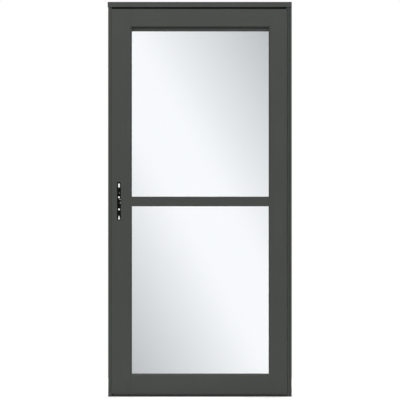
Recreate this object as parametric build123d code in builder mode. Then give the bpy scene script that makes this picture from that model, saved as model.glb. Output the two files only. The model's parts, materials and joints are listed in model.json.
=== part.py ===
"""Storm door with a sliding upper sash and a screen that rolls into the head.

An aluminium door leaf hangs on a full length hinge in its own frame of two
jambs and a header. The outside faces -Y. The lower glass is fixed, the upper
glass sits in a sash that slides down behind it, and the screen follows the
sash down from a roller in the head. Millimetres, +X to the hinge side, +Y to
the inside of the house, +Z up. The origin is on the back of the latch jamb's
mounting flange, in the middle of its width and at its foot.
"""

import os

from build123d import *

# Frame as a whole
frame_width = 957.0
frame_height = 2057.0
header_height = 27.0
header_cap = 2.5
header_cap_radius = 1.7
head_gap = 10.0
foot_radius = 5.0
edge_radius = 0.8
nose_radius = 1.4
drip_groove = 3.0
drip_inset = 4.0

# Walls of the extrusions, and clearances
wall = 1.6
face_wall = 2.0
moving_gap = 5.0
fit_gap = 0.5
curve_gap = 0.3

# Frame sections
latch_nose_width = 20.5
hinge_nose_width = 13.2
latch_line = 17.7
nose_depth = 11.0
header_nose_depth = 20.0
stop_width = 22.0
seal_depth = 6.0
seal_base = 2.0
seal_width = 12.0
seal_edge = 1.0
seal_inset = 2.0

# Screws that hold the frame to the trim
screw_radius = 2.25
jamb_screw_inset = 150.0
jamb_screw_inner = 700.0
header_screw_inset = 240.0
screw_depth = 22.0
drill_depth = 6.4

# Leaf sections
leaf_depth = 41.0
leaf_foot = 14.0
latch_face_width = 98.8
hinge_face_width = 88.8
track_room = 11.0
sight_step = 6.5
step_depth = 4.0
top_face_height = 91.3
top_box_height = 30.0
bottom_face_height = 99.0
mid_face_height = 37.5
mid_face_foot = 999.5
mid_box_depth = 16.0
mid_upper_step = 5.5
glass_bite = 10.5

# Glass and beads
glass_thickness = 3.2
bead_depth = 6.8
bead_height = 16.0
bead_chamfer = 4.0

# Sliding sash, its tracks and catches
sash_depth = 19.0
sash_stile_width = 15.0
sash_top_height = 33.0
sash_top_sight = 23.8
sash_lip_height = 10.8
sash_rebate = 4.0
sash_step = 5.5
sash_step_depth = 4.0
lift_rail = 5.0
lift_rail_height = 4.0
sash_bottom_height = 37.0
sash_foot_rise = 3.5
sash_groove = 10.0
sash_wall = 1.6
track_wall = 1.5
track_leg = 13.0
catch_length = 46.0
catch_height = 16.0
catch_depth = 6.0
catch_radius = 3.0
catch_grip_length = 15.4
catch_grip_height = 8.0
catch_grip_depth = 2.0
catch_grip_radius = 1.5
catch_inset = 60.0

# Screen cassette
roller_radius = 8.0
roller_bore = 5.0
roll_radius = 14.0
roll_clearance = 2.0
screen_thickness = 0.6
pull_bar_height = 10.0
pull_bar_depth = 15.0
cover_height = 46.0
bracket_thickness = 3.0
spindle_length = 14.0

# Lock pocket in the latch stile
lock_slot_width = 20.0
lock_slot_length = 200.5
lock_center_z = 1018.7
lock_center_x = 38.8
lock_case_thickness = 14.0
lock_case_length = 224.0
lock_case_width = 46.0
spindle_block_height = 54.0
cylinder_block_height = 28.0
handle_hole_radius = 4.5
handle_hole_upper = 20.3
handle_hole_lower = -42.9
spindle_slot_offset = 81.8
spindle_slot_length = 21.0
spindle_slot_width = 8.0
key_hole_offset = -90.7
key_hole_tail = 13.5
key_tail_width = 4.6
face_plate_width = 26.0
bolt_width = 12.0
bolt_height = 20.0
bolt_proud = 2.5
strike_thickness = 1.5
strike_width = 28.0
strike_length = 110.0
strike_play = 2.0

# Full length hinge
knuckle_radius = 4.5
pin_radius = 2.2
pin_clearance = 0.05
hinge_plate = 2.0
hinge_half_gap = 3.5
knuckle_clearance = 1.0
knuckle_nominal = 110.0
knuckle_end_gap = 0.5
hinge_end_margin = 8.5
hinge_plate_width = 27.0
hinge_axis_inset = 2.5
pin_head = 1.5

# Expander and sweep under the leaf
expander_inset = 4.0
expander_height = 9.0
sweep_clearance = 0.5
sweep_fin = 2.0
sweep_fin_pitch = 9.0
sweep_cap_length = 16.0

# Places across the depth, from the trim face at zero
leaf_front = -(nose_depth + moving_gap + face_wall)
leaf_skin_back = leaf_front + face_wall
leaf_back = leaf_front + leaf_depth
stop_front = leaf_back + moving_gap + seal_depth
seal_base_front = stop_front - seal_base
seal_bulb_depth = seal_depth - seal_base
seal_bulb_width = seal_width - 2 * seal_edge
strike_mid = (leaf_front + leaf_back) / 2
leg_back = stop_front + wall
glass_front = leaf_skin_back + step_depth
glass_back = glass_front + glass_thickness
mid_box_back = leaf_front + mid_box_depth
track_front = mid_box_back + fit_gap
sash_front = track_front + track_wall + fit_gap
sash_back = sash_front + sash_depth
track_back = sash_back + track_wall
sash_glass_front = sash_front + (sash_depth - glass_thickness) / 2
sash_glass_back = sash_glass_front + glass_thickness

# Places across the width
frame_left = -(latch_nose_width - wall) / 2
frame_right = frame_left + frame_width
latch_leg = frame_left + latch_nose_width
hinge_leg = frame_right - hinge_nose_width
strike_face = latch_leg + strike_thickness
leaf_latch_edge = strike_face + moving_gap + bolt_proud
lip_edge = frame_left + latch_line
hinge_x = hinge_leg - hinge_half_gap - hinge_plate
hinge_y = leaf_front + hinge_axis_inset
leaf_hinge_edge = hinge_x - hinge_half_gap - hinge_plate
face_left = lip_edge + latch_face_width
face_right = leaf_hinge_edge - hinge_face_width
box_left = face_left - track_room
box_right = face_right + track_room
sight_left = face_left + sight_step
sight_right = face_right - sight_step
lock_x = frame_left + latch_line + lock_center_x

# Places up the height
jamb_top = frame_height - header_height
leaf_top = jamb_top - head_gap
top_face_foot = leaf_top - top_face_height
top_box_foot = leaf_top - top_box_height
bottom_face_top = leaf_foot + bottom_face_height
bottom_box_top = bottom_face_top - glass_bite
mid_face_top = mid_face_foot + mid_face_height
mid_box_foot = mid_face_foot + glass_bite
sash_foot = mid_face_foot + sash_foot_rise
sash_bottom_top = sash_foot + sash_bottom_height
sash_top_foot = top_face_foot - sash_top_sight
sash_top = sash_top_foot + sash_top_height
roller_y = leaf_skin_back + roll_radius + roll_clearance
cover_foot = top_box_foot - cover_height
roller_z = top_box_foot - cover_height / 2
lock_case_foot = lock_center_z - lock_case_length / 2
hinge_foot = leaf_foot + hinge_end_margin
hinge_length = leaf_top - hinge_end_margin - hinge_foot
knuckle_count = 2 * round(hinge_length / (2 * knuckle_nominal))
knuckle_pitch = (hinge_length + knuckle_end_gap) / knuckle_count

pieces = []


def corners(x0, x1, y0, y1, mode=Mode.ADD):
    """A rectangle between two corners, in the sketch that is open."""
    with Locations(((x0 + x1) / 2, (y0 + y1) / 2)):
        Rectangle(x1 - x0, y1 - y0, mode=mode)


def block(x0, x1, y0, y1, z0, z1, mode=Mode.ADD):
    """A block between two corners, in the part that is open."""
    with Locations(((x0 + x1) / 2, (y0 + y1) / 2, (z0 + z1) / 2)):
        Box(x1 - x0, y1 - y0, z1 - z0, mode=mode)


def drill(x, y, z, radius, depth, rotation, mode=Mode.SUBTRACT):
    """A round hole or pin centred on a point, turned onto its axis."""
    with Locations(Location((x, y, z), rotation)):
        Cylinder(radius, depth, mode=mode)


def keep(part, name):
    """Label a finished piece and put it on the list that is written out."""
    part.label = name
    pieces.append(part)


along_x = (0, 90, 0)
along_y = (90, 0, 0)
upright = (0, 0, 0)

# Jambs: a hollow nose in front of the trim, a leg into the opening, a stop behind the leaf
with BuildPart() as latch_jamb:
    with BuildSketch(Plane.XY):
        corners(frame_left, latch_leg, -nose_depth, 0)
        corners(frame_left + wall, latch_leg - wall, wall - nose_depth, -wall, Mode.SUBTRACT)
        corners(latch_leg - wall, latch_leg, 0, leg_back)
        corners(latch_leg - wall, latch_leg + stop_width, stop_front, leg_back)
    extrude(amount=jamb_top)
    fillet(latch_jamb.edges().filter_by(Axis.Z).group_by(Axis.Y)[0], nose_radius)
    with BuildSketch(Plane.XZ):
        corners(frame_left - wall, frame_left + foot_radius, -wall, foot_radius)
        with Locations((frame_left + foot_radius, foot_radius)):
            Circle(foot_radius, mode=Mode.SUBTRACT)
    extrude(amount=nose_depth, mode=Mode.SUBTRACT)
    for level in (
        jamb_screw_inset,
        jamb_screw_inner,
        jamb_top - jamb_screw_inner,
        jamb_top - jamb_screw_inset,
    ):
        drill(latch_leg - wall / 2, screw_depth, level, screw_radius, drill_depth, along_x)
keep(latch_jamb.part, "latch_jamb")

with BuildPart() as hinge_jamb:
    with BuildSketch(Plane.XY):
        corners(hinge_leg, frame_right, -nose_depth, 0)
        corners(hinge_leg + wall, frame_right - wall, wall - nose_depth, -wall, Mode.SUBTRACT)
        corners(hinge_leg, hinge_leg + wall, 0, leg_back)
        corners(hinge_leg - stop_width, hinge_leg + wall, stop_front, leg_back)
    extrude(amount=jamb_top)
    fillet(hinge_jamb.edges().filter_by(Axis.Z).group_by(Axis.Y)[0], nose_radius)
    for level in (
        jamb_screw_inset,
        jamb_screw_inner,
        jamb_top - jamb_screw_inner,
        jamb_top - jamb_screw_inset,
    ):
        drill(hinge_leg + wall / 2, screw_depth, level, screw_radius, drill_depth, along_x)
keep(hinge_jamb.part, "hinge_jamb")

# Header: a deeper nose that sheds rain over the leaf, on top of both jambs
with BuildPart() as header:
    with BuildSketch(Plane.YZ.offset(frame_left)):
        corners(-header_nose_depth, 0, jamb_top, frame_height)
        corners(
            wall - header_nose_depth, -wall, jamb_top + wall, frame_height - wall, Mode.SUBTRACT
        )
        with Locations((drip_inset - header_nose_depth, jamb_top)):
            Rectangle(drip_groove, wall, mode=Mode.SUBTRACT)
    extrude(amount=frame_width - header_cap)
    fillet(header.edges().filter_by(Axis.X).group_by(Axis.Y)[0], nose_radius)
    with BuildSketch(Plane.YZ.offset(latch_leg)):
        corners(0, leg_back, jamb_top, jamb_top + wall)
    extrude(amount=hinge_leg - latch_leg)
    with BuildSketch(Plane.YZ.offset(latch_leg + stop_width)):
        corners(stop_front, leg_back, jamb_top - stop_width, jamb_top)
    extrude(amount=hinge_leg - latch_leg - 2 * stop_width)
    for inset in (latch_leg + header_screw_inset, hinge_leg - header_screw_inset):
        drill(inset, screw_depth, jamb_top + wall / 2, screw_radius, drill_depth, upright)
keep(header.part, "header")


def header_end(foot_x, name):
    """A moulded cap over one open end of the header's nose, with rounded top corners."""
    with BuildPart() as cap:
        with BuildSketch(Plane.YZ.offset(foot_x)):
            corners(-header_nose_depth, 0, jamb_top, frame_height)
        extrude(amount=header_cap)
        outward = Axis.X if foot_x > 0 else -Axis.X
        top_edges = cap.edges().filter_by(Axis.Y).group_by(Axis.Z)[-1]
        fillet(top_edges.sort_by(outward)[-1], header_cap_radius)
    keep(cap.part, name)


header_end(frame_left - header_cap, "header_cap_latch_side")
header_end(frame_right - header_cap, "header_cap_hinge_side")


def upright_seal(foot_x, name):
    """A bulb seal up the front of a jamb's stop."""
    with BuildPart() as seal:
        with BuildSketch(Plane.XY):
            corners(foot_x, foot_x + seal_width, seal_base_front, stop_front)
            with Locations((foot_x + seal_width / 2, seal_base_front)):
                Ellipse(seal_bulb_width / 2, seal_bulb_depth)
            corners(foot_x, foot_x + seal_width, stop_front, stop_front + seal_depth, Mode.SUBTRACT)
        extrude(amount=jamb_top - stop_width)
    keep(seal.part, name)


upright_seal(latch_leg + stop_width - seal_width - seal_inset, "latch_jamb_seal")
upright_seal(hinge_leg - stop_width + seal_inset, "hinge_jamb_seal")

with BuildPart() as header_seal:
    seal_foot = jamb_top - stop_width + seal_inset
    seal_top = seal_foot + seal_width
    with BuildSketch(Plane.YZ.offset(latch_leg)):
        corners(seal_base_front, stop_front, seal_foot, seal_top)
        with Locations((seal_base_front, (seal_foot + seal_top) / 2)):
            Ellipse(seal_bulb_depth, seal_bulb_width / 2)
        corners(stop_front, stop_front + seal_depth, seal_foot, seal_top, Mode.SUBTRACT)
    extrude(amount=hinge_leg - latch_leg)
keep(header_seal.part, "header_seal")

# Strike on the latch jamb's leg, with room round the bolt
with BuildPart() as strike_plate:
    block(
        latch_leg,
        strike_face,
        strike_mid - strike_width / 2,
        strike_mid + strike_width / 2,
        lock_center_z - strike_length / 2,
        lock_center_z + strike_length / 2,
    )
    block(
        latch_leg - wall,
        strike_face + wall,
        strike_mid - bolt_width / 2 - strike_play,
        strike_mid + bolt_width / 2 + strike_play,
        lock_center_z - bolt_height / 2 - strike_play,
        lock_center_z + bolt_height / 2 + strike_play,
        Mode.SUBTRACT,
    )
keep(strike_plate.part, "strike_plate")

# Hinge: two plates with interleaved knuckles round one pin
def hinge_half(side, first, name):
    """A plate and every second knuckle. side is 1 for the frame's half and -1 for the leaf's."""
    near = hinge_x + side * hinge_half_gap
    far = near + side * hinge_plate
    low_x = min(near, far)
    high_x = max(near, far)
    plate_front = hinge_y + knuckle_radius + knuckle_clearance
    with BuildPart() as half:
        with BuildSketch(Plane.XY.offset(hinge_foot)):
            corners(low_x, high_x, plate_front, plate_front + hinge_plate_width)
        extrude(amount=hinge_length)
        for index in range(first, knuckle_count, 2):
            with BuildSketch(Plane.XY.offset(hinge_foot + index * knuckle_pitch)):
                with Locations((hinge_x, hinge_y)):
                    Circle(knuckle_radius)
                corners(low_x, high_x, hinge_y, plate_front)
                with Locations((hinge_x, hinge_y)):
                    Circle(pin_radius + pin_clearance, mode=Mode.SUBTRACT)
            extrude(amount=knuckle_pitch - knuckle_end_gap)
    keep(half.part, name)


hinge_half(1, 0, "hinge_frame_leaf")
hinge_half(-1, 1, "hinge_door_leaf")

with BuildPart() as hinge_pin:
    with BuildSketch(Plane.XY.offset(hinge_foot - pin_head)):
        with Locations((hinge_x, hinge_y)):
            Circle(pin_radius)
    extrude(amount=hinge_length + 2 * pin_head)
    for level in (hinge_foot - pin_head, hinge_foot + hinge_length + fit_gap):
        with BuildSketch(Plane.XY.offset(level)):
            with Locations((hinge_x, hinge_y)):
                Circle(knuckle_radius - fit_gap)
        extrude(amount=pin_head - fit_gap)
keep(hinge_pin.part, "hinge_pin")

# Stiles: a hollow box with a front skin that runs past it, and a stepped lip round the glass
lip_spans = ((bottom_face_top, mid_face_foot), (mid_face_top, top_face_foot))


def lip_section(edge, inward, width):
    """Corners of a lip that slopes back from a face's edge to the glass, as (place, depth) pairs."""
    start = leaf_front + edge_radius
    corner_places = (
        (-wall, start),
        (0, start),
        (width, start + step_depth),
        (width, glass_front),
        (width - wall, glass_front),
        (-wall, leaf_skin_back),
    )
    return [(edge + inward * place, depth) for place, depth in corner_places]


def cut_lips(*outline):
    """Cut an outline, seen from the front, through the depth of the lips in the part that is open."""
    with BuildSketch(Plane.XZ.offset(-glass_front)) as cut:
        Polygon(*outline, align=None)
    extrude(cut.sketch, amount=glass_front - leaf_front, mode=Mode.SUBTRACT)


def mitre_stile_lips(edge, sight):
    """Cut the ends of a stile's lips on the slant where they meet the lips of the rails."""
    for level, rise in (
        (bottom_face_top, sight_step),
        (mid_face_foot, -sight_step),
        (mid_face_top, mid_upper_step),
    ):
        cut_lips((edge, level), (sight, level), (sight, level + rise))


def mitre_rail_lip(level, rise):
    """Cut both ends of a rail's lip on the slant where they meet the lips of the stiles."""
    for outer, edge, sight in (
        (box_left - wall, face_left, sight_left),
        (box_right + wall, face_right, sight_right),
    ):
        cut_lips((outer, level), (edge, level), (sight, level + rise), (outer, level + rise))


with BuildPart() as latch_stile:
    with BuildSketch(Plane.XY.offset(leaf_foot)):
        corners(leaf_latch_edge, box_left, leaf_front, leaf_back)
        corners(
            leaf_latch_edge + wall, box_left - wall, leaf_skin_back, leaf_back - wall, Mode.SUBTRACT
        )
        corners(lip_edge, face_left, leaf_front, leaf_skin_back)
    extrude(amount=leaf_top - leaf_foot)
    fillet(latch_stile.edges().filter_by(Axis.Z).group_by(Axis.Y)[0], edge_radius)
    for foot, top in lip_spans:
        with BuildSketch(Plane.XY.offset(foot)):
            Polygon(*lip_section(face_left, 1, sight_step), align=None)
        extrude(amount=top - foot)
    mitre_stile_lips(face_left, sight_left)
    with BuildSketch(Plane.XZ.offset(-leaf_back - wall)):
        with Locations((lock_x, lock_center_z)):
            SlotOverall(lock_slot_length, lock_slot_width, rotation=90)
    extrude(amount=leaf_depth + 2 * wall, mode=Mode.SUBTRACT)
    block(
        leaf_latch_edge - wall,
        leaf_latch_edge + wall,
        strike_mid - face_plate_width / 2,
        strike_mid + face_plate_width / 2,
        lock_case_foot,
        lock_case_foot + lock_case_length,
        Mode.SUBTRACT,
    )
keep(latch_stile.part, "latch_stile")

with BuildPart() as hinge_stile:
    with BuildSketch(Plane.XY.offset(leaf_foot)):
        corners(box_right, leaf_hinge_edge, leaf_front, leaf_back)
        corners(
            box_right + wall, leaf_hinge_edge - wall, leaf_skin_back, leaf_back - wall, Mode.SUBTRACT
        )
        corners(face_right, box_right, leaf_front, leaf_skin_back)
    extrude(amount=leaf_top - leaf_foot)
    fillet(hinge_stile.edges().filter_by(Axis.Z).group_by(Axis.Y)[0], edge_radius)
    for foot, top in lip_spans:
        with BuildSketch(Plane.XY.offset(foot)):
            Polygon(*lip_section(face_right, -1, sight_step), align=None)
        extrude(amount=top - foot)
    mitre_stile_lips(face_right, sight_right)
keep(hinge_stile.part, "hinge_stile")


def cope_ends(z0, z1):
    """Cut a rail's front skin back where the stiles' skins pass in front of its ends."""
    block(box_left - wall, face_left, leaf_front - wall, leaf_skin_back, z0, z1, Mode.SUBTRACT)
    block(face_right, box_right + wall, leaf_front - wall, leaf_skin_back, z0, z1, Mode.SUBTRACT)


def rail_lip(edge, inward, width):
    """The sloped lip of a rail, along the whole rail, in the part that is open."""
    section = lip_section(edge, inward, width)
    with BuildSketch(Plane.YZ.offset(box_left)) as lip:
        Polygon(*[(depth, place) for place, depth in section], align=None)
    extrude(lip.sketch, amount=box_right - box_left)


with BuildPart() as top_rail:
    with BuildSketch(Plane.YZ.offset(box_left)):
        corners(leaf_front, leaf_back, top_box_foot, leaf_top)
        corners(leaf_skin_back, leaf_back - wall, top_box_foot + wall, leaf_top - wall, Mode.SUBTRACT)
        corners(leaf_front, leaf_skin_back, top_face_foot, leaf_top)
        corners(leaf_front, glass_front, top_face_foot, top_face_foot + wall)
    extrude(amount=box_right - box_left)
    fillet(top_rail.edges().filter_by(Axis.X).group_by(Axis.Y)[0], edge_radius)
    cope_ends(top_face_foot, leaf_top)
keep(top_rail.part, "top_rail")

with BuildPart() as bottom_rail:
    with BuildSketch(Plane.YZ.offset(box_left)):
        corners(leaf_front, leaf_back, leaf_foot, bottom_box_top)
        corners(
            leaf_skin_back, leaf_back - wall, leaf_foot + wall, bottom_box_top - wall, Mode.SUBTRACT
        )
        corners(leaf_front, leaf_skin_back, leaf_foot, bottom_face_top)
    extrude(amount=box_right - box_left)
    fillet(bottom_rail.edges().filter_by(Axis.X).group_by(Axis.Y)[0], edge_radius)
    rail_lip(bottom_face_top, 1, sight_step)
    cope_ends(leaf_foot, bottom_face_top)
    mitre_rail_lip(bottom_face_top, sight_step)
keep(bottom_rail.part, "bottom_rail")

with BuildPart() as mid_rail:
    with BuildSketch(Plane.YZ.offset(box_left)):
        corners(leaf_front, mid_box_back, mid_box_foot, mid_face_top)
        corners(
            leaf_skin_back, mid_box_back - wall, mid_box_foot + wall, mid_face_top - wall, Mode.SUBTRACT
        )
        corners(leaf_front, leaf_skin_back, mid_face_foot, mid_face_top)
    extrude(amount=box_right - box_left)
    fillet(mid_rail.edges().filter_by(Axis.X).group_by(Axis.Y)[0], edge_radius)
    rail_lip(mid_face_foot, -1, sight_step)
    rail_lip(mid_face_top, 1, mid_upper_step)
    cope_ends(mid_face_foot, mid_face_top)
    mitre_rail_lip(mid_face_foot, -sight_step)
    mitre_rail_lip(mid_face_top, mid_upper_step)
keep(mid_rail.part, "mid_rail")

# Lower glass, seated on the bottom rail's box and against the lips
glass_side = track_room - curve_gap
with BuildPart() as lower_glass:
    block(
        face_left - glass_side,
        face_right + glass_side,
        glass_front,
        glass_back,
        bottom_box_top,
        mid_box_foot - 2 * fit_gap,
    )
keep(lower_glass.part, "lower_glass")


def glazing_bead(plane, seat, tip, length, name):
    """A snap-in bead: a seat side, a glass side and a sloped back, carried along the glass's edge."""
    lean = bead_chamfer if tip > seat else -bead_chamfer
    with BuildPart() as bead:
        with BuildSketch(plane):
            with BuildLine():
                Polyline(
                    (seat, glass_back),
                    (tip, glass_back),
                    (tip, glass_back + bead_depth - bead_chamfer),
                    (tip - lean, glass_back + bead_depth),
                    (seat, glass_back + bead_depth),
                    close=True,
                )
            make_face()
        extrude(amount=length)
    keep(bead.part, name)


# Side beads stand between the bottom bead and the top bead
side_bead_plane = Plane.XY.offset(bottom_box_top + bead_height)
side_bead_length = mid_box_foot - bottom_box_top - 2 * bead_height
level_bead_plane = Plane(origin=(box_right, 0, 0), x_dir=(0, 0, 1), z_dir=(-1, 0, 0))
level_bead_length = box_right - box_left
for seat, tip, name in (
    (box_left, box_left + bead_height, "lower_bead_latch_side"),
    (box_right, box_right - bead_height, "lower_bead_hinge_side"),
):
    glazing_bead(side_bead_plane, seat, tip, side_bead_length, name)
for seat, tip, name in (
    (bottom_box_top, bottom_box_top + bead_height, "lower_bead_bottom"),
    (mid_box_foot, mid_box_foot - bead_height, "lower_bead_top"),
):
    glazing_bead(level_bead_plane, seat, tip, level_bead_length, name)


# Tracks for the sash, on the inner sides of the stile boxes
def sash_track(web, side, name):
    """A channel that opens toward the glass. side is 1 on the latch stile and -1 on the hinge stile."""
    low_x = min(web, web + side * track_wall)
    leg_end = web + side * track_leg
    with BuildPart() as track:
        with BuildSketch(Plane.XY.offset(bottom_box_top)):
            corners(low_x, low_x + track_wall, track_front, track_back)
            corners(min(web, leg_end), max(web, leg_end), track_front, track_front + track_wall)
            corners(min(web, leg_end), max(web, leg_end), sash_back, track_back)
        extrude(amount=cover_foot - bottom_box_top)
    keep(track.part, name)


sash_track(box_left, 1, "latch_side_track")
sash_track(box_right, -1, "hinge_side_track")

# Upper sash: two stiles and two rails with a groove for the glass
sash_left = box_left + track_wall + fit_gap
sash_right = box_right - track_wall - fit_gap


def sash_stile(outer, side, name):
    """One side of the sash, with the glass groove on its inner side."""
    inner = outer + side * sash_stile_width
    groove = inner - side * sash_groove
    with BuildPart() as stile:
        with BuildSketch(Plane.XY.offset(sash_foot)):
            corners(min(outer, inner), max(outer, inner), sash_front, sash_back)
            corners(
                min(groove, inner), max(groove, inner), sash_glass_front, sash_glass_back, Mode.SUBTRACT
            )
        extrude(amount=sash_top - sash_foot)
    keep(stile.part, name)


sash_stile(sash_left, 1, "sash_latch_side")
sash_stile(sash_right, -1, "sash_hinge_side")


def sash_rail(foot, top, sight, rebate, lift, name):
    """A sash rail: a chamber, a glass groove at the sight edge, and a sloped step beside the glass.

    A rebate sets its front back beyond a lip beside the glass. A lift is a ledge for the fingers.
    """
    inward = 1 if sight == foot else -1
    groove_end = sight + inward * sash_groove
    step_end = sight + inward * sash_step
    chamber_foot = groove_end + sash_wall if sight == foot else foot + sash_wall
    chamber_top = top - sash_wall if sight == foot else groove_end - sash_wall
    with BuildPart() as rail:
        with BuildSketch(Plane.YZ.offset(sash_left + sash_stile_width)):
            corners(sash_front, sash_back, foot, top)
            corners(
                sash_glass_front,
                sash_glass_back,
                min(sight, groove_end),
                max(sight, groove_end),
                Mode.SUBTRACT,
            )
            corners(
                sash_front + rebate + sash_wall,
                sash_back - sash_wall,
                chamber_foot,
                chamber_top,
                Mode.SUBTRACT,
            )
            if rebate:
                corners(
                    sash_front - wall,
                    sash_front + rebate,
                    sight + inward * sash_lip_height,
                    top + wall,
                    Mode.SUBTRACT,
                )
            with BuildLine():
                Polyline(
                    (sash_front - wall, sight - inward * wall),
                    (sash_front + sash_step_depth, sight - inward * wall),
                    (sash_front + sash_step_depth, sight),
                    (sash_front, step_end),
                    (sash_front - wall, step_end),
                    close=True,
                )
            make_face(mode=Mode.SUBTRACT)
            if lift:
                corners(sash_back, sash_back + lift_rail, foot, foot + lift_rail_height)
        extrude(amount=sash_right - sash_left - 2 * sash_stile_width)
    keep(rail.part, name)


sash_rail(sash_foot, sash_bottom_top, sash_bottom_top, 0, True, "sash_bottom_rail")
sash_rail(sash_top_foot, sash_top, sash_top_foot, sash_rebate, False, "sash_top_rail")

with BuildPart() as upper_glass:
    block(
        sash_left + sash_stile_width - sash_groove,
        sash_right - sash_stile_width + sash_groove,
        sash_glass_front,
        sash_glass_back,
        sash_bottom_top - sash_groove,
        sash_top_foot + sash_groove,
    )
keep(upper_glass.part, "upper_glass")


def sash_catch(mid, name):
    """A spring catch on the inside of the sash's bottom rail."""
    with BuildPart() as catch:
        with BuildSketch(Plane.XZ.offset(-sash_back)):
            with Locations((mid, sash_foot + sash_bottom_height / 2)):
                RectangleRounded(catch_length, catch_height, catch_radius)
        extrude(amount=-catch_depth)
        with BuildSketch(Plane.XZ.offset(-sash_back - catch_depth)):
            with Locations((mid, sash_foot + sash_bottom_height / 2)):
                RectangleRounded(catch_grip_length, catch_grip_height, catch_grip_radius)
        extrude(amount=catch_grip_depth, mode=Mode.SUBTRACT)
    keep(catch.part, name)


sash_catch(sight_left + catch_inset, "sash_catch_latch_side")
sash_catch(sight_right - catch_inset, "sash_catch_hinge_side")

# Screen: pull bar on the sash, mesh on its roller, brackets and an inside cover
screen_left = sash_left + sash_stile_width
screen_right = sash_right - sash_stile_width

with BuildPart() as pull_bar:
    bar_back = roller_y + roll_radius + 2 * wall
    bar_front = bar_back - pull_bar_depth
    bar_top = sash_top + pull_bar_height
    with BuildSketch(Plane.YZ.offset(screen_left)):
        corners(bar_front, bar_back, sash_top, bar_top)
        corners(bar_front + wall, bar_back - wall, sash_top + wall, bar_top - wall, Mode.SUBTRACT)
    extrude(amount=screen_right - screen_left)
keep(pull_bar.part, "screen_pull_bar")

with BuildPart() as roller_tube:
    with BuildSketch(Plane.YZ.offset(screen_left)):
        with Locations((roller_y, roller_z)):
            Circle(roller_radius)
            Circle(roller_bore, mode=Mode.SUBTRACT)
    extrude(amount=screen_right - screen_left)
keep(roller_tube.part, "screen_roller_tube")

with BuildPart() as screen_roll:
    with BuildSketch(Plane.YZ.offset(screen_left)):
        with Locations((roller_y, roller_z)):
            Circle(roll_radius)
        corners(
            roller_y + roll_radius - screen_thickness,
            roller_y + roll_radius,
            sash_top + pull_bar_height,
            roller_z,
        )
        with Locations((roller_y, roller_z)):
            Circle(roller_radius + curve_gap, mode=Mode.SUBTRACT)
    extrude(amount=screen_right - screen_left)
keep(screen_roll.part, "screen_roll")


def roller_bracket(seat, side, name):
    """A plate on a stile box with a spindle that carries one end of the roller."""
    plate_end = seat + side * bracket_thickness
    spindle_end = plate_end + side * (spindle_length + sash_stile_width)
    with BuildPart() as bracket:
        block(
            min(seat, plate_end),
            max(seat, plate_end),
            glass_front,
            leaf_back - wall,
            cover_foot,
            top_box_foot,
        )
        drill(
            (plate_end + spindle_end) / 2,
            roller_y,
            roller_z,
            roller_bore - curve_gap,
            abs(spindle_end - plate_end),
            along_x,
            Mode.ADD,
        )
    keep(bracket.part, name)


roller_bracket(box_left, 1, "roller_bracket_latch_side")
roller_bracket(box_right, -1, "roller_bracket_hinge_side")

with BuildPart() as cassette_cover:
    with BuildSketch(Plane.YZ.offset(box_left)):
        corners(leaf_back - wall, leaf_back, cover_foot, top_box_foot)
    extrude(amount=box_right - box_left)
keep(cassette_cover.part, "cassette_cover")

# Lock in the latch stile: a latch case between a spindle block and a cylinder block
case_left = leaf_latch_edge + wall
spindle_z = lock_center_z + spindle_slot_offset
key_z = lock_center_z + key_hole_offset
spindle_block_foot = spindle_z - spindle_block_height / 2
cylinder_block_top = key_z + cylinder_block_height


def lock_body(z0, z1):
    """One piece of the lock's depth and width, in the part that is open."""
    case_front = strike_mid - lock_case_thickness / 2
    block(case_left, case_left + lock_case_width, case_front, case_front + lock_case_thickness, z0, z1)


with BuildPart() as lock_case:
    lock_body(cylinder_block_top, spindle_block_foot)
    for offset in (handle_hole_upper, handle_hole_lower):
        drill(lock_x, strike_mid, lock_center_z + offset, handle_hole_radius, leaf_depth, along_y)
keep(lock_case.part, "lock_case")

with BuildPart() as lock_spindle_block:
    lock_body(spindle_block_foot, lock_case_foot + lock_case_length)
    with BuildSketch(Plane.XZ.offset(-leaf_back)):
        with Locations((lock_x, spindle_z)):
            SlotOverall(spindle_slot_length, spindle_slot_width, rotation=90)
    extrude(amount=leaf_depth, mode=Mode.SUBTRACT)
keep(lock_spindle_block.part, "lock_spindle_block")

with BuildPart() as lock_cylinder_block:
    lock_body(lock_case_foot, cylinder_block_top)
    with BuildSketch(Plane.XZ.offset(-leaf_back)):
        with Locations((lock_x, key_z)):
            Circle(handle_hole_radius)
        with Locations((lock_x, key_z + key_hole_tail / 2)):
            Rectangle(key_tail_width, key_hole_tail)
    extrude(amount=leaf_depth, mode=Mode.SUBTRACT)
keep(lock_cylinder_block.part, "lock_cylinder_block")

with BuildPart() as lock_face_plate:
    block(
        leaf_latch_edge,
        case_left,
        strike_mid - face_plate_width / 2,
        strike_mid + face_plate_width / 2,
        lock_case_foot,
        lock_case_foot + lock_case_length,
    )
    block(
        leaf_latch_edge - wall,
        case_left + wall,
        strike_mid - bolt_width / 2 - curve_gap,
        strike_mid + bolt_width / 2 + curve_gap,
        lock_center_z - bolt_height / 2 - curve_gap,
        lock_center_z + bolt_height / 2 + curve_gap,
        Mode.SUBTRACT,
    )
keep(lock_face_plate.part, "lock_face_plate")

with BuildPart() as latch_bolt:
    with BuildSketch(Plane.XY.offset(lock_center_z - bolt_height / 2)):
        with BuildLine():
            Polyline(
                (case_left, strike_mid - bolt_width / 2),
                (leaf_latch_edge - bolt_proud, strike_mid - bolt_width / 2),
                (leaf_latch_edge - bolt_proud, strike_mid),
                (leaf_latch_edge, strike_mid + bolt_width / 2),
                (case_left, strike_mid + bolt_width / 2),
                close=True,
            )
        make_face()
    extrude(amount=bolt_height)
keep(latch_bolt.part, "latch_bolt")

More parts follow.
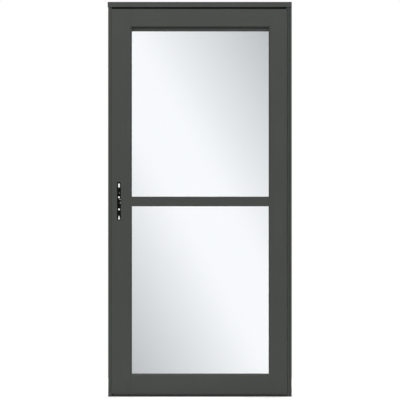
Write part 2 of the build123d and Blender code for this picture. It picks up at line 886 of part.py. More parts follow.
# Expander under the bottom rail, with its sweep and end caps
expander_left = leaf_latch_edge + sweep_cap_length
expander_right = leaf_hinge_edge - sweep_cap_length
expander_front = leaf_front + expander_inset
expander_back = leaf_back - expander_inset
expander_foot = leaf_foot - expander_height

with BuildPart() as bottom_expander:
    with BuildSketch(Plane.YZ.offset(expander_left)):
        corners(expander_front, expander_back, expander_foot, leaf_foot)
        inner_front = expander_front + wall
        inner_back = expander_back - wall
        corners(inner_front, inner_back, expander_foot - wall, leaf_foot - wall, Mode.SUBTRACT)
    extrude(amount=expander_right - expander_left)
keep(bottom_expander.part, "bottom_expander")

with BuildPart() as door_sweep:
    with BuildSketch(Plane.YZ.offset(expander_left)):
        corners(inner_front, inner_back, expander_foot, expander_foot + sweep_fin)
        for step in (-1, 0, 1):
            fin = strike_mid + step * sweep_fin_pitch
            corners(fin - sweep_fin / 2, fin + sweep_fin / 2, sweep_clearance, expander_foot)
    extrude(amount=expander_right - expander_left)
keep(door_sweep.part, "door_sweep")


def sweep_cap(foot_x, name):
    """A moulded cap that closes one end of the expander."""
    with BuildPart() as cap:
        with BuildSketch(Plane.YZ.offset(foot_x)):
            corners(expander_front, expander_back, sweep_clearance, leaf_foot)
        extrude(amount=sweep_cap_length)
    keep(cap.part, name)


sweep_cap(leaf_latch_edge, "sweep_cap_latch_side")
sweep_cap(expander_right, "sweep_cap_hinge_side")

os.makedirs("parts", exist_ok=True)
for piece in pieces:
    export_step(piece, f"parts/{piece.label}.step")
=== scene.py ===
"""Finishes, small hardware and studio for the storm door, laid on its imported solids.

Every place comes from the solids' own boxes. What is added here is a surface of two parameters,
worked out as whole arrays. Metres, +X to the hinge side, +Y to the inside of the house, +Z up.
"""

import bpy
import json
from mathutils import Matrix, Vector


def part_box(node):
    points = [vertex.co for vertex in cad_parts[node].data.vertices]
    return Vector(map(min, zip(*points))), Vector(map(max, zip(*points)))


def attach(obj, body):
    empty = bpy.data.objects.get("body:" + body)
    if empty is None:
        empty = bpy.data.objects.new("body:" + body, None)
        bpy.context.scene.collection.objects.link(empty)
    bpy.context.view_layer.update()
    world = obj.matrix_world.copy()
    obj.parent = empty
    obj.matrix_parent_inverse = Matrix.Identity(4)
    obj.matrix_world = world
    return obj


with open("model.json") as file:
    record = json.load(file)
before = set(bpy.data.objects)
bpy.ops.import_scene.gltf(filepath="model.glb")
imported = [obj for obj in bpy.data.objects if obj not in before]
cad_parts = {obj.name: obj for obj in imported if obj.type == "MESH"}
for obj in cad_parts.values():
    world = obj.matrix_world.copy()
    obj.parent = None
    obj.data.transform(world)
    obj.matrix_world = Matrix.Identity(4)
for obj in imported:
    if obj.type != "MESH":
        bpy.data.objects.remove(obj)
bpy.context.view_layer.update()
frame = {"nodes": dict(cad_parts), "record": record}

import json
import math

import bmesh
import bpy
import numpy as np
from mathutils import Vector

MM = 0.001

# The photograph: its scale at the door's face, and the point of the door at its middle
METRES_PER_PIXEL = 5.21 * MM
PHOTO_SIDE = 400
LOOK_AT = (0.4693, -0.018, 1.0248)
CAMERA_DISTANCE = 30.0
SENSOR = 36.0

# How bright the white room is as a light, where 1 is the white that the camera sees
ROOM_LIGHT = 0.6

# The floor's half size, where its edge starts and ends its fade, and its glow near and far
FLOOR_HALF = 3.0
FADE_START = 0.7
FADE_END = 2.8
GLOW_NEAR = 0.22
GLOW_FAR = 0.55

# The lit card that the panes mirror. The band is given at the door's own scale
CARD_BEHIND_CAMERA = 6.0
CARD_HALF_WIDTH = 2.0
CARD_HALF_HEIGHT = 3.5
BAND_SLOPE = 1.8
BAND_MIDDLE = 0.905
BAND_TOP = 2.96
BAND_EDGE = 3.55
BAND_FALL = 4.66
BAND_ROUND = 0.4

# Lamps: place, side and watts
LAMPS = {
    "key": ((0.1, -5.4, 5.5), 3.0, 204),
    "inside_key": ((2.4, 3.8, 4.2), 2.6, 110),
}

# Stretch of a pattern whose lines run up a piece, or along a level one
UPRIGHT = (1.0, 1.0, 0.01)
LEVEL = (0.01, 1.0, 1.0)

# The part of its range that most of a noise keeps to
MIDDLE_HALF = {"From Min": 0.25, "From Max": 0.75}

# Edges of a piece that turn by more than this stay sharp
SHARP_FROM_DEGREES = 35.0

# Screw heads by use: radius of the rim, and height of the dome over it
HEADS = {
    "hinge": (3.6 * MM, 0.8 * MM),
    "face_plate": (3.4 * MM, 0.9 * MM),
    "strike": (3.6 * MM, 0.9 * MM),
    "pocket_small": (2.6 * MM, 0.8 * MM),
    "pocket_large": (4.2 * MM, 1.6 * MM),
    "leaf_corner": (4.2 * MM, 0.5 * MM),
    "sash_corner": (3.2 * MM, 0.9 * MM),
    "expander": (2.8 * MM, 0.9 * MM),
}

# Ways that a screw's head or the back of a bar faces
OUTSIDE = np.array((0.0, -1.0, 0.0))
INSIDE = np.array((0.0, 1.0, 0.0))
TO_LATCH = np.array((-1.0, 0.0, 0.0))
TO_HINGE = np.array((1.0, 0.0, 0.0))


def linear(code):
    """Linear RGBA of an sRGB hex code: a straight foot for dark values, then a power of 2.4."""
    srgb = np.array([int(code[i : i + 2], 16) for i in (1, 3, 5)]) / 255
    rgb = np.where(srgb <= 0.04045, srgb / 12.92, ((srgb + 0.055) / 1.055) ** 2.4)
    return (*rgb.tolist(), 1.0)


def add(tree, kind, inputs=(), **settings):
    """Adds a node with its settings. Each input gets a value, or the output that feeds it."""
    node = tree.nodes.new("ShaderNode" + kind)
    for name, value in settings.items():
        setattr(node, name, value)
    for name, value in dict(inputs).items():
        if isinstance(value, bpy.types.NodeSocket):
            tree.links.new(value, node.inputs[name])
        else:
            node.inputs[name].default_value = value
    return node


def start_material(name):
    """An empty node material, and the object coordinates that its patterns follow."""
    material = bpy.data.materials.new(name)
    material.use_nodes = True
    material.node_tree.nodes.clear()
    place = add(material.node_tree, "TexCoord").outputs["Object"]
    return material, material.node_tree, place


def close_material(tree, shader):
    """Joins the shader to the material's output."""
    add(tree, "OutputMaterial", {"Surface": shader.outputs[0]})


def noise(tree, place, period, detail=2.0, stretch=(1.0, 1.0, 1.0)):
    """Noise whose blobs are about one period across, longer along an axis whose stretch is small."""
    mapped = add(tree, "Mapping", {"Vector": place, "Scale": stretch}).outputs[0]
    return add(tree, "TexNoise", {"Vector": mapped, "Scale": 1 / period, "Detail": detail}).outputs["Fac"]


def surface(tree, colour, roughness, relief, constants):
    """The shader of a solid material, joined to the material's output.

    Its colour goes between two hex codes as a pattern goes from 0 to 1, and its roughness between two
    values over the middle half of a pattern. A third pattern stands up from it, so many metres deep.
    """
    tone, dark, light = colour
    gloss, low, high = roughness
    height, depth = relief
    ends = {"Factor": tone, 6: linear(dark), 7: linear(light)}
    span = {"Value": gloss, **MIDDLE_HALF, "To Min": low, "To Max": high}
    values = {
        "Base Color": add(tree, "Mix", ends, data_type="RGBA").outputs[2],
        "Roughness": add(tree, "MapRange", span).outputs[0],
        "Normal": add(tree, "Bump", {"Height": height, "Distance": depth}).outputs[0],
    }
    close_material(tree, add(tree, "BsdfPrincipled", {**values, **constants}))


def powder_coat(name, along):
    """Polyester powder baked on extruded aluminium: satin charcoal, a fine orange peel in the gloss,
    and faint draw lines of the extrusion, which run along the piece and show under the coat."""
    material, tree, place = start_material(name)
    clouds = noise(tree, place, 160 * MM, 3.0)
    # Real draw lines are about 0.5 mm apart, too fine to show, so they are drawn ten times as coarse
    lines = noise(tree, place, 5 * MM, 1.0, along)
    peel = noise(tree, place, 2.2 * MM)
    both = add(tree, "Math", {0: clouds, 1: lines}, operation="MULTIPLY").outputs[0]
    span = {"Value": both, **MIDDLE_HALF, "To Min": 0.0, "To Max": 1.6}
    tone = add(tree, "MapRange", span).outputs[0]
    colour = (tone, "#313431", "#373A36")
    surface(tree, colour, (lines, 0.44, 0.52), (peel, 0.04 * MM), {"IOR": 1.5})
    return material


def cap_moulding():
    """Weatherproof ASA, injection moulded in the coat's colour: duller, with a spark-eroded grain."""
    material, tree, place = start_material("moulded_asa_charcoal")
    # The real grain is about 0.1 mm across, too fine to show, so it is drawn nine times as coarse
    grain = noise(tree, place, 0.9 * MM)
    colour = (grain, "#373936", "#3F413E")
    surface(tree, colour, (grain, 0.5, 0.62), (grain, 0.05 * MM), {"IOR": 1.5})
    return material


def black_nylon():
    """Glass-filled nylon, injection moulded: near black with a fine stipple that breaks its shine."""
    material, tree, place = start_material("moulded_black_nylon")
    # The real stipple is about 0.1 mm across, too fine to show, so it is drawn seven times as coarse
    grain = noise(tree, place, 0.7 * MM, 3.0)
    colour = (grain, "#151615", "#1E1F1E")
    surface(tree, colour, (grain, 0.42, 0.56), (grain, 0.05 * MM), {"IOR": 1.53})
    return material


def vinyl(name, along):
    """Soft PVC, extruded: matt black with draw lines along the strip and a trace of dust bloom."""
    material, tree, place = start_material(name)
    # Real draw lines are about 0.25 mm apart, too fine to show, so they are drawn ten times as coarse
    lines = noise(tree, place, 2.5 * MM, 2.0, along)
    bloom = noise(tree, place, 40 * MM, 3.0)
    colour = (bloom, "#141513", "#232422")
    surface(tree, colour, (lines, 0.55, 0.72), (lines, 0.08 * MM), {"IOR": 1.53})
    return material


def pvc_with_painted_shade():
    """Rigid PVC, extruded near black and darkened further by painted shade: dull, with draw lines up the
    channel.
    """
    material, tree, place = start_material("extruded_rigid_pvc_painted_shade")
    # Real draw lines are about 0.3 mm apart, too fine to show, so they are drawn ten times as coarse
    lines = noise(tree, place, 3 * MM, 1.0, UPRIGHT)
    constants = {"IOR": 1.53, "Specular IOR Level": 0.4}
    # The near-black tone is partly the PVC's own and partly painted shade. It is darker still so that the
    # bottom expander, which wears this finish, stands for the shadow under the bottom rail.
    colour = (lines, "#161715", "#1F201E")
    surface(tree, colour, (lines, 0.34, 0.44), (lines, 0.04 * MM), constants)
    return material


def plated_steel():
    """Zinc-plated steel, brushed before plating: grey metal with fine scratches and cloudy plating."""
    material, tree, place = start_material("brushed_zinc_plate")
    # Real scratches are about 0.05 mm apart, too fine to show, so they are drawn ten times as coarse
    scratches = noise(tree, place, 0.5 * MM, 3.0, (1.0, 1.0, 0.06))
    clouds = noise(tree, place, 9 * MM, 2.0)
    colour = (clouds, "#8E8F8C", "#ABABA6")
    surface(tree, colour, (scratches, 0.28, 0.46), (scratches, 0.015 * MM), {"Metallic": 1.0})
    return material


def mill_aluminium():
    """Aluminium tube as extruded: bright metal, with draw lines along it."""
    material, tree, place = start_material("mill_finish_aluminium")
    # Real draw lines are about 0.2 mm apart, too fine to show, so they are drawn six times as coarse
    lines = noise(tree, place, 1.2 * MM, 2.0, LEVEL)
    colour = (lines, "#B4B5B3", "#C9CAC8")
    surface(tree, colour, (lines, 0.26, 0.4), (lines, 0.02 * MM), {"Metallic": 1.0})
    return material


def black_case():
    """Pressed steel with a black dipped coat: very dark, with soft runs that hardly catch the light."""
    material, tree, place = start_material("dipped_black_steel")
    runs = noise(tree, place, 6 * MM, 2.0, (1.0, 1.0, 0.3))
    constants = {"IOR": 1.5, "Specular IOR Level": 0.12}
    colour = (runs, "#030303", "#080807")
    surface(tree, colour, (runs, 0.5, 0.66), (runs, 0.05 * MM), constants)
    return material


def woven_screen():
    """Vinyl-coated glass-fibre mesh, woven 1.5 mm apart and wound on its tube: dark threads that cross,
    one set along the tube and one set round it, with darker holes between."""
    material, tree, place = start_material("woven_glass_fibre_mesh")
    low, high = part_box("screen_roller_tube")
    middle = (low + high) / 2
    pitch = 1.5 * MM
    roll_radius = 14 * MM
    rate = math.pi / pitch
    centred = add(tree, "VectorMath", {0: place, 1: (0.0, middle.y, middle.z)}, operation="SUBTRACT")
    split = add(tree, "SeparateXYZ", {0: centred.outputs[0]})
    turn = add(tree, "Math", {0: split.outputs["Z"], 1: split.outputs["Y"]}, operation="ARCTAN2")
    threads = []
    for source, waves in ((split.outputs["X"], rate), (turn.outputs[0], rate * roll_radius)):
        phase = add(tree, "Math", {0: source, 1: waves}, operation="MULTIPLY")
        wave = add(tree, "Math", {0: phase.outputs[0]}, operation="SINE")
        threads.append(add(tree, "Math", {0: wave.outputs[0]}, operation="ABSOLUTE").outputs[0])
    weave = add(tree, "Math", {0: threads[0], 1: threads[1]}, operation="MAXIMUM").outputs[0]
    colour = (weave, "#0E0E0D", "#33342F")
    surface(tree, colour, (weave, 0.75, 0.5), (weave, 0.25 * MM), {"IOR": 1.5})
    return material


def coated_glass():
    """Tempered float glass with a tin oxide film of index 2 on both faces: a faint blue-grey body whose
    film mirrors a quarter of the light, so a soft band of the studio lies across the panes."""
    material, tree, place = start_material("tempered_low_emissivity_glass")
    body = noise(tree, place, 400 * MM, 1.0)
    ends = {"Factor": body, 6: linear("#C7CBCE"), 7: linear("#C9CDD0")}
    values = {
        "Base Color": add(tree, "Mix", ends, data_type="RGBA").outputs[2],
        "Roughness": 0.0,
        "IOR": 1.52,
        "Transmission Weight": 1.0,
        "Coat Weight": 1.0,
        "Coat Roughness": 0.0,
        "Coat IOR": 2.0,
    }
    close_material(tree, add(tree, "BsdfPrincipled", values))
    return material


coat_upright = powder_coat("powder_coated_aluminium_upright", UPRIGHT)
coat_level = powder_coat("powder_coated_aluminium_level", LEVEL)
vinyl_upright = vinyl("extruded_vinyl_upright", UPRIGHT)
vinyl_level = vinyl("extruded_vinyl_level", LEVEL)
steel = plated_steel()
nylon = black_nylon()
glass = coated_glass()

finishes = {
    "steel": steel,
    "glass": glass,
    "track_plastic": pvc_with_painted_shade(),
    "black_plastic": nylon,
    "cap_plastic": cap_moulding(),
    "bare_aluminium": mill_aluminium(),
    "screen_mesh": woven_screen(),
    "black_lock": black_case(),
}
by_direction = {"frame_coating": (coat_upright, coat_level), "seal": (vinyl_upright, vinyl_level)}


def dress_solids():
    """Gives every solid its finish. Coat and vinyl take the one whose lines run the piece's long way."""
    for part in frame["record"]["subparts"]:
        solid = frame["nodes"][part["node"]]
        slot = part["material_slot"]
        if slot in by_direction:
            low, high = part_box(part["node"])
            size = high - low
            upright, level = by_direction[slot]
            finish = upright if size.z > size.x else level
        else:
            finish = finishes[slot]
        for holder in solid.material_slots:
            holder.material = finish
        if slot == "glass":
            solid.visible_shadow = False


def quads(rows, columns, rows_close=False, columns_close=False):
    """Faces between neighbours on a grid of points. A side that closes joins its last to its first."""
    row = np.arange(rows if rows_close else rows - 1)
    column = np.arange(columns if columns_close else columns - 1)
    row, column = (part.ravel() for part in np.meshgrid(row, column, indexing="ij"))
    next_row = (row + 1) % rows
    next_column = (column + 1) % columns
    around = ((row, column), (row, next_column), (next_row, next_column), (next_row, column))
    return np.stack([r * columns + c for r, c in around], axis=-1)


def capped_tube(rows, columns):
    """Faces of a tube of closed rings, one per row, with a flat face on its first and its last ring."""
    ring = np.arange(columns)
    ends = [ring.tolist(), (ring + (rows - 1) * columns).tolist()]
    return quads(rows, columns, columns_close=True).tolist() + ends


def new_piece(name, points, faces, body, finish):
    """A closed mesh with its faces turned outward, riding on a body. Its sharper edges stay sharp."""
    mesh = bpy.data.meshes.new(name)
    mesh.from_pydata(points.reshape(-1, 3).tolist(), [], faces)
    shell = bmesh.new()
    shell.from_mesh(mesh)
    bmesh.ops.recalc_face_normals(shell, faces=shell.faces)
    shell.to_mesh(mesh)
    shell.free()
    mesh.shade_smooth()
    mesh.set_sharp_from_angle(angle=math.radians(SHARP_FROM_DEGREES))
    mesh.materials.append(finish)
    piece = bpy.data.objects.new(name, mesh)
    bpy.context.scene.collection.objects.link(piece)
    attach(piece, body)


def soft_box(value, half):
    """1 inside plus or minus half, falling smoothly to 0: one over 1 plus the ratio to the sixth."""
    return 1 / (1 + (value / half) ** 6)


def full_turn(steps):
    """Angles evenly round a full turn, without the last, which is the first again."""
    return np.linspace(0, 2 * math.pi, steps, endpoint=False)


def signed_power(value, power):
    """A value's size raised to a power, with the value's own sign."""
    return np.sign(value) * np.abs(value) ** power


def screws(name, centres, toward, head, body):
    """Screw heads as surfaces of revolution with a cross recess.

    A point at share s of the radius and angle a stands dome * (1 - s squared) above the rim, less the
    recess where the arms of the cross run, and the last ring goes down to the seat.
    """
    radius, dome = HEADS[head]
    centres = np.asarray(centres, float).reshape(-1, 3)
    share = np.array((0.1, 0.25, 0.38, 0.5, 0.62, 0.75, 0.9, 1.0, 1.0))
    angle = full_turn(24)
    across = share[:, None] * np.cos(angle)
    up = share[:, None] * np.sin(angle)
    arm, thin = 0.5, 0.13
    level_arms = soft_box(across, arm) * soft_box(up, thin)
    upright_arms = soft_box(across, thin) * soft_box(up, arm)
    cross = np.maximum(upright_arms, level_arms)
    rim, recess = 0.25 * dome, 0.8 * dome
    height = rim + dome * (1 - share[:, None] ** 2) - recess * cross
    height[-1] = 0.0
    side = np.cross(toward, (0.0, 0.0, 1.0))
    above = np.cross(side, toward)
    shape = radius * (across[..., None] * side + up[..., None] * above) + height[..., None] * toward
    points = centres[:, None, None, :] + shape
    one = capped_tube(*across.shape)
    starts = across.size * np.arange(len(centres))
    faces = [[corner + start for corner in face] for start in starts.tolist() for face in one]
    new_piece(name, points, faces, body, steel)


def loop_strip(name, outline, section, corner):
    """A gasket round a pane: its section carried along a rectangle with round corners.

    A point of the section lies some way out from the outline and at some depth. Round each corner's
    centre it runs a quarter circle whose radius is the corner's plus that way out.
    """
    left, right, foot, top = outline
    out, depth = np.asarray(section, float).T
    steps = 7
    quarter = np.linspace(0, math.pi / 2, steps)
    angle = (np.arange(4)[:, None] * math.pi / 2 + quarter).ravel()
    centre_x = np.repeat((right - corner, left + corner, left + corner, right - corner), steps)
    centre_z = np.repeat((top - corner, top - corner, foot + corner, foot + corner), steps)
    reach = corner + out[None, :]
    x = centre_x[:, None] + reach * np.cos(angle)[:, None]
    z = centre_z[:, None] + reach * np.sin(angle)[:, None]
    points = np.stack([x, np.broadcast_to(depth, x.shape), z], axis=-1)
    faces = quads(*x.shape, rows_close=True, columns_close=True).tolist()
    new_piece(name, points, faces, "leaf", vinyl_upright)


def rounded_bar(name, start, end, half_width, half_height, finish, ribs=0, rib=0.0):
    """A bar with a superellipse for its section, drawn in at both ends and ribbed along its back.

    At share s from start to end and angle a, the section's half sizes are scaled by the fourth root of
    1 minus (2s - 1) to the fourth, and a cosine with that many ribs is added to its height.
    """
    start, end = np.asarray(start, float), np.asarray(end, float)
    tip = 0.06
    share = 0.5 - 0.5 * np.cos(np.linspace(tip, math.pi - tip, 8 * max(ribs, 3)))
    angle = full_turn(20)
    taper = (1 - (2 * share - 1) ** 4) ** 0.25
    wide = signed_power(np.cos(angle), 0.5)
    tall = signed_power(np.sin(angle), 0.5)
    line = (end - start) / np.linalg.norm(end - start)
    side = np.cross(INSIDE, line)
    ripple = rib * np.cos(2 * math.pi * ribs * share)
    height = (half_height + ripple)[:, None] * taper[:, None] * tall
    width = half_width * taper[:, None] * wide
    spine = start + share[:, None] * (end - start)
    points = spine[:, None, :] + width[..., None] * side + height[..., None] * INSIDE
    new_piece(name, points, capped_tube(*width.shape), "leaf", finish)


def sight_opening(latch_side, hinge_side, bottom, top):
    """Left, right, foot and top of the opening that four named solids leave between them."""
    return (
        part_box(latch_side)[1].x,
        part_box(hinge_side)[0].x,
        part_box(bottom)[1].z,
        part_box(top)[0].z,
    )


def glazing_gaskets():
    """The vinyl lines round each pane, outside and inside, seated on the glass at the sight edges."""
    section = np.array(((0.0, 0.0), (-1.2, 0.0), (-1.2, 0.45), (-0.8, 0.95), (0.0, 1.0))) * MM
    outward = section * (1, -1)
    corner = 3 * MM
    outer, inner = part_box("lower_glass")
    lips = sight_opening("latch_stile", "hinge_stile", "bottom_rail", "mid_rail")
    loop_strip("lower_gasket_outside", lips, outward + (0, outer.y), corner)
    beads = sight_opening(
        "lower_bead_latch_side", "lower_bead_hinge_side", "lower_bead_bottom", "lower_bead_top"
    )
    loop_strip("lower_gasket_inside", beads, section + (0, inner.y), corner)
    outer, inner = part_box("upper_glass")
    sash = sight_opening("sash_latch_side", "sash_hinge_side", "sash_bottom_rail", "sash_top_rail")
    loop_strip("upper_gasket_outside", sash, outward + (0, outer.y), corner)
    loop_strip("upper_gasket_inside", sash, section + (0, inner.y), corner)


def hinge_screws():
    """Countersunk heads down both plates of the hinge, staggered so that no two meet when it shuts."""
    plate = 2 * MM
    from_back = 11 * MM
    from_foot, from_top = 60 * MM, 30 * MM
    spacing = 240 * MM
    for node, body, toward, stagger, name in (
        ("hinge_frame_leaf", "frame", TO_LATCH, 0.0, "hinge_screws_jamb_side"),
        ("hinge_door_leaf", "leaf", TO_HINGE, 0.5, "hinge_screws_leaf_side"),
    ):
        low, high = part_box(node)
        face_x = high.x - plate if body == "frame" else low.x + plate
        levels = np.arange(low.z + from_foot + stagger * spacing, high.z - from_top, spacing)
        centres = [(face_x, high.y - from_back, level) for level in levels]
        screws(name, centres, toward, "hinge", body)


def hinge_end_caps():
    """Turned caps over both ends of the hinge's pin, which carry its line out to the block and the foot.

    The radius at height h is the full one, less a round at each end that is a quarter circle, less a
    groove shaped as a bell: its depth times e to the minus square of the way from the groove's middle.
    """
    low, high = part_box("hinge_pin")
    axis = (low + high) / 2
    full = 4.4 * MM
    corner = 1.0 * MM
    over_head = 1.3 * MM
    foot = 3.5 * MM
    above_leaf = 1.0 * MM
    groove_depth, groove_half = 0.5 * MM, 0.7 * MM
    rise = corner * (1 - np.cos(np.linspace(0, math.pi / 2, 6)))
    angle = full_turn(40)
    for name, start, end in (
        ("hinge_cap_foot", foot, low.z + over_head),
        ("hinge_cap_top", high.z - over_head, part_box("hinge_stile")[1].z + above_leaf),
    ):
        straight = np.linspace(start + corner, end - corner, 25)[1:-1]
        heights = np.concatenate([start + rise, straight, end - rise[::-1]])
        from_end = np.minimum(heights - start, end - heights)
        lost = np.clip(1 - from_end / corner, 0, 1)
        groove = groove_depth * np.exp(-(((heights - (start + end) / 2) / groove_half) ** 2))
        radius = full - corner * (1 - np.sqrt(1 - lost**2)) - groove
        x = axis.x + radius[:, None] * np.cos(angle)
        y = axis.y + radius[:, None] * np.sin(angle)
        points = np.stack([x, y, np.broadcast_to(heights[:, None], x.shape)], axis=-1)
        new_piece(name, points, capped_tube(*x.shape), "frame", finishes["cap_plastic"])


def header_corner_block():
    """The moulded block that closes the gap under the header over the hinge.

    A superellipsoid: at longitude a and latitude b its way from the middle is the half size times the
    signed eighth roots of the cosine and sine of a and b, so it is a box with small round edges.
    """
    over_leaf, past_pin = 3 * MM, 1.4 * MM
    set_back = 4.5 * MM
    above_leaf, under_header = 1.2 * MM, 0.2 * MM
    leaf_low, leaf_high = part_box("hinge_stile")
    pin_low, pin_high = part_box("hinge_pin")
    left, right = leaf_high.x - over_leaf, pin_high.x + past_pin
    front, back = leaf_low.y + set_back, pin_high.y
    foot, top = leaf_high.z + above_leaf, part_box("hinge_jamb")[1].z - under_header
    middle = np.array((left + right, front + back, foot + top)) / 2
    half = np.array((right - left, back - front, top - foot)) / 2
    eighth = 0.125
    near_pole = math.pi / 2 - 0.02
    around = full_turn(48)
    upward = np.linspace(-near_pole, near_pole, 25)[:, None]
    ring = signed_power(np.cos(upward), eighth)
    x = ring * signed_power(np.cos(around), eighth)
    y = ring * signed_power(np.sin(around), eighth)
    z = np.broadcast_to(signed_power(np.sin(upward), eighth), x.shape)
    points = middle + half * np.stack([x, y, z], axis=-1)
    finish = finishes["cap_plastic"]
    new_piece("header_corner_block", points, capped_tube(*x.shape), "frame", finish)


def lock_hardware():
    """Heads on the lock's face plate, the strike and the pocket's floor, and the latch's small lever."""
    inset = 9 * MM
    low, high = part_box("lock_face_plate")
    middle_y = (low.y + high.y) / 2
    ends = [(low.x, middle_y, low.z + inset), (low.x, middle_y, high.z - inset)]
    screws("face_plate_screws", ends, TO_LATCH, "face_plate", "leaf")
    low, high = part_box("strike_plate")
    ends = [(high.x, middle_y, low.z + inset), (high.x, middle_y, high.z - inset)]
    screws("strike_screws", ends, TO_HINGE, "strike", "frame")

    # Places in the pocket, across from its middle line and down from the top of the lock's case
    small_across, small_down = 1.8 * MM, 13.3 * MM
    large_across, large_down = 8 * MM, 63.3 * MM
    lever_down, lever_reach, lever_fall = 46 * MM, 10 * MM, 0.8 * MM
    half_width, half_height = 2.0 * MM, 1.3 * MM
    low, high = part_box("lock_case")
    openings = {opening["name"]: opening for opening in frame["record"]["physics"]["openings"]}
    near, far = openings["lock_pocket_outside"]["box_m"]
    pocket_x = (near[0] + far[0]) / 2
    for face_y, toward, side in ((low.y, OUTSIDE, "outside"), (high.y, INSIDE, "inside")):
        small = [(pocket_x + small_across, face_y, high.z - small_down)]
        screws("pocket_screw_small_" + side, small, toward, "pocket_small", "leaf")
        large = [(pocket_x + large_across, face_y, high.z - large_down)]
        screws("pocket_screw_large_" + side, large, toward, "pocket_large", "leaf")
    lever_y = low.y - half_height
    lever_z = high.z - lever_down
    start = (pocket_x, lever_y, lever_z + lever_fall)
    end = (pocket_x + lever_reach, lever_y, lever_z - lever_fall)
    rounded_bar("latch_lever", start, end, half_width, half_height, steel)


def leaf_screws():
    """Heads that hold the leaf's rails through its latch edge, the sash's corners and the expander."""
    low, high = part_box("lock_face_plate")
    middle_y = (low.y + high.y) / 2
    clear = 8 * MM
    levels = []
    for node in ("bottom_rail", "mid_rail", "top_rail"):
        foot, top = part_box(node)
        levels += [foot.z + share * (top.z - foot.z) for share in (0.3, 0.75)]
    levels = [z for z in levels if z < low.z - clear or z > high.z + clear]
    # The lock's face plate lies flush in that edge, so the heads stand where its face is
    centres = [(low.x, middle_y, z) for z in levels]
    screws("leaf_corner_screws", centres, TO_LATCH, "leaf_corner", "leaf")
    sides = [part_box("sash_latch_side"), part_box("sash_hinge_side")]
    rails = [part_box("sash_bottom_rail"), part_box("sash_top_rail")]
    centres = [
        ((side[0].x + side[1].x) / 2, side[1].y, (rail[0].z + rail[1].z) / 2)
        for side in sides
        for rail in rails
    ]
    screws("sash_corner_screws", centres, INSIDE, "sash_corner", "leaf")
    low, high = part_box("bottom_expander")
    from_end = 60 * MM
    across = np.linspace(low.x + from_end, high.x - from_end, 4)
    centres = [(x, high.y, (low.z + high.z) / 2) for x in across]
    screws("expander_screws", centres, INSIDE, "expander", "leaf")


def catch_buttons():
    """The ribbed thumb slides in the sash's two catches."""
    sunk = 1.4 * MM
    half_length, half_width, half_height = 6.6 * MM, 3.4 * MM, 1.1 * MM
    for side in ("latch_side", "hinge_side"):
        low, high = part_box("sash_catch_" + side)
        x = (low.x + high.x) / 2
        z = (low.z + high.z) / 2
        start, end = (x - half_length, high.y - sunk, z), (x + half_length, high.y - sunk, z)
        name = "catch_button_" + side
        rounded_bar(
            name, start, end, half_width, half_height, nylon, ribs=5, rib=0.25 * MM
        )


def stage_plane(name, corners, shader_of):
    """A four-sided sheet of the studio with its own shader."""
    mesh = bpy.data.meshes.new(name)
    mesh.from_pydata(corners, [], [(0, 1, 2, 3)])
    sheet = bpy.data.objects.new(name, mesh)
    bpy.context.scene.collection.objects.link(sheet)
    material, tree, place = start_material(name + "_paper")
    close_material(tree, shader_of(tree, place))
    mesh.materials.append(material)
    return sheet


def floor_paint(tree, place):
    """White paint, lit from within toward its edges so that the floor runs into the white round it.

    Where a pane mirrors the floor or lets it through, its edges fade to the room's light likewise.
    """
    from_door = add(tree, "VectorMath", {0: place, 1: (LOOK_AT[0], 0.0, 0.0)}, operation="DISTANCE")
    span = {"Value": from_door.outputs["Value"], "From Min": FADE_START, "From Max": FADE_END}
    far = add(tree, "MapRange", span, interpolation_type="SMOOTHSTEP").outputs[0]
    growth = {0: far, 1: GLOW_FAR - GLOW_NEAR, 2: GLOW_NEAR}
    values = {
        "Base Color": linear("#F4F4F3"),
        "Roughness": 0.9,
        "Emission Color": linear("#FFFFFF"),
        "Emission Strength": add(tree, "Math", growth, operation="MULTIPLY_ADD").outputs[0],
    }
    paint = add(tree, "BsdfPrincipled", values)
    path = add(tree, "LightPath").outputs
    through = path["Is Transmission Ray"]
    room_light = add(tree, "MapRange", {"Value": through, "To Min": ROOM_LIGHT, "To Max": 1.0})
    room = add(tree, "Emission", {"Color": linear("#FFFFFF"), "Strength": room_light.outputs[0]})
    by_pane = add(tree, "Math", {0: path["Is Glossy Ray"], 1: through}, operation="MAXIMUM")
    faded = add(tree, "Math", {0: far, 1: by_pane.outputs[0]}, operation="MULTIPLY").outputs[0]
    return add(tree, "MixShader", {0: faded, 1: paint.outputs[0], 2: room.outputs[0]})


def band_light(tree, place):
    """Light that is flat along the band's middle and falls off evenly to both sides of it.

    The card is farther off than the panes that mirror it, so the band is spread out on it, round the
    camera's axis, by the ratio of the two ways. Distance from the band's middle is a dot product.
    """
    length = math.hypot(BAND_SLOPE, 1.0)
    away = CAMERA_DISTANCE + CARD_BEHIND_CAMERA
    spread_out = 1 + away / CAMERA_DISTANCE
    across = (BAND_SLOPE / length / spread_out, 0.0, 1 / length / spread_out)
    centred = (LOOK_AT[0] * BAND_SLOPE + LOOK_AT[2]) / length * (1 - 1 / spread_out)
    dot = add(tree, "VectorMath", {0: place, 1: across}, operation="DOT_PRODUCT").outputs["Value"]
    from_middle = add(tree, "Math", {0: dot, 1: BAND_MIDDLE - centred}, operation="SUBTRACT").outputs[0]
    distance = add(tree, "Math", {0: from_middle}, operation="ABSOLUTE").outputs[0]
    slope = {0: distance, 1: -BAND_FALL, 2: BAND_EDGE}
    falling = add(tree, "Math", slope, operation="MULTIPLY_ADD").outputs[0]
    strength = add(tree, "Math", {0: falling, 1: BAND_TOP, 2: BAND_ROUND}, operation="SMOOTH_MIN")
    return add(tree, "Emission", {"Color": linear("#FFFFFF"), "Strength": strength.outputs[0]})


def area_light(name, place, size, watts):
    """A square lamp that faces the door's middle."""
    lamp = bpy.data.lights.new(name, "AREA")
    lamp.shape = "SQUARE"
    lamp.size = size
    lamp.energy = watts
    holder = bpy.data.objects.new(name, lamp)
    bpy.context.scene.collection.objects.link(holder)
    holder.location = place
    holder.rotation_euler = (Vector(LOOK_AT) - Vector(place)).to_track_quat("-Z", "Y").to_euler()


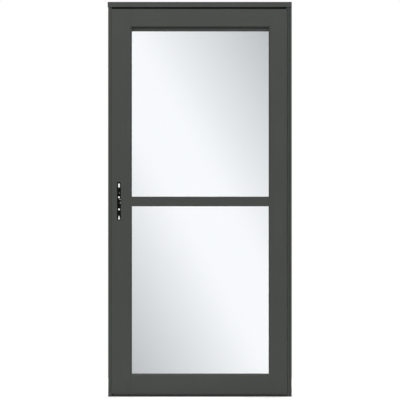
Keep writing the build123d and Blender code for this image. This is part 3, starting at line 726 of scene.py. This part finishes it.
def white_room():
    """A white room: full white where the camera sees it, also through glass, and softer as a light."""
    world = bpy.data.worlds.new("white_room")
    world.use_nodes = True
    tree = world.node_tree
    tree.nodes.clear()
    path = add(tree, "LightPath").outputs
    either = {0: path["Is Camera Ray"], 1: path["Is Transmission Ray"]}
    seen = add(tree, "Math", either, operation="MAXIMUM").outputs[0]
    strength = add(tree, "MapRange", {"Value": seen, "To Min": ROOM_LIGHT, "To Max": 1.0}).outputs[0]
    background = add(tree, "Background", {"Color": linear("#FFFFFF"), "Strength": strength})
    add(tree, "OutputWorld", {"Surface": background.outputs[0]})
    bpy.context.scene.world = world


def studio():
    """Floor, mirrored card, lamps, room and camera."""
    x, y, z = LOOK_AT
    around = ((-1, -1), (1, -1), (1, 1), (-1, 1))
    corners = [(x + FLOOR_HALF * side, FLOOR_HALF * depth, 0) for side, depth in around]
    stage_plane("floor", corners, floor_paint)
    card_y = y - CAMERA_DISTANCE - CARD_BEHIND_CAMERA
    around = ((-1, -1), (-1, 1), (1, 1), (1, -1))
    corners = [(x + CARD_HALF_WIDTH * side, card_y, z + CARD_HALF_HEIGHT * up) for side, up in around]
    card = stage_plane("mirrored_card", corners, band_light)
    card.visible_camera = False
    card.visible_diffuse = False
    card.visible_transmission = False
    card.visible_shadow = False
    for name, (spot, side, watts) in LAMPS.items():
        area_light(name, spot, side, watts)
    white_room()
    camera = bpy.data.objects.new("camera", bpy.data.cameras.new("camera"))
    camera.data.sensor_width = SENSOR
    camera.data.lens = SENSOR * CAMERA_DISTANCE / (METRES_PER_PIXEL * PHOTO_SIDE)
    camera.location = (x, y - CAMERA_DISTANCE, z)
    camera.rotation_euler = (math.pi / 2, 0, 0)
    bpy.context.scene.collection.objects.link(camera)
    bpy.context.scene.camera = camera
    bpy.context.scene.view_settings.view_transform = "Standard"


studio()
dress_solids()
glazing_gaskets()
hinge_screws()
hinge_end_caps()
header_corner_block()
lock_hardware()
leaf_screws()
catch_buttons()

bpy.context.view_layer.update()
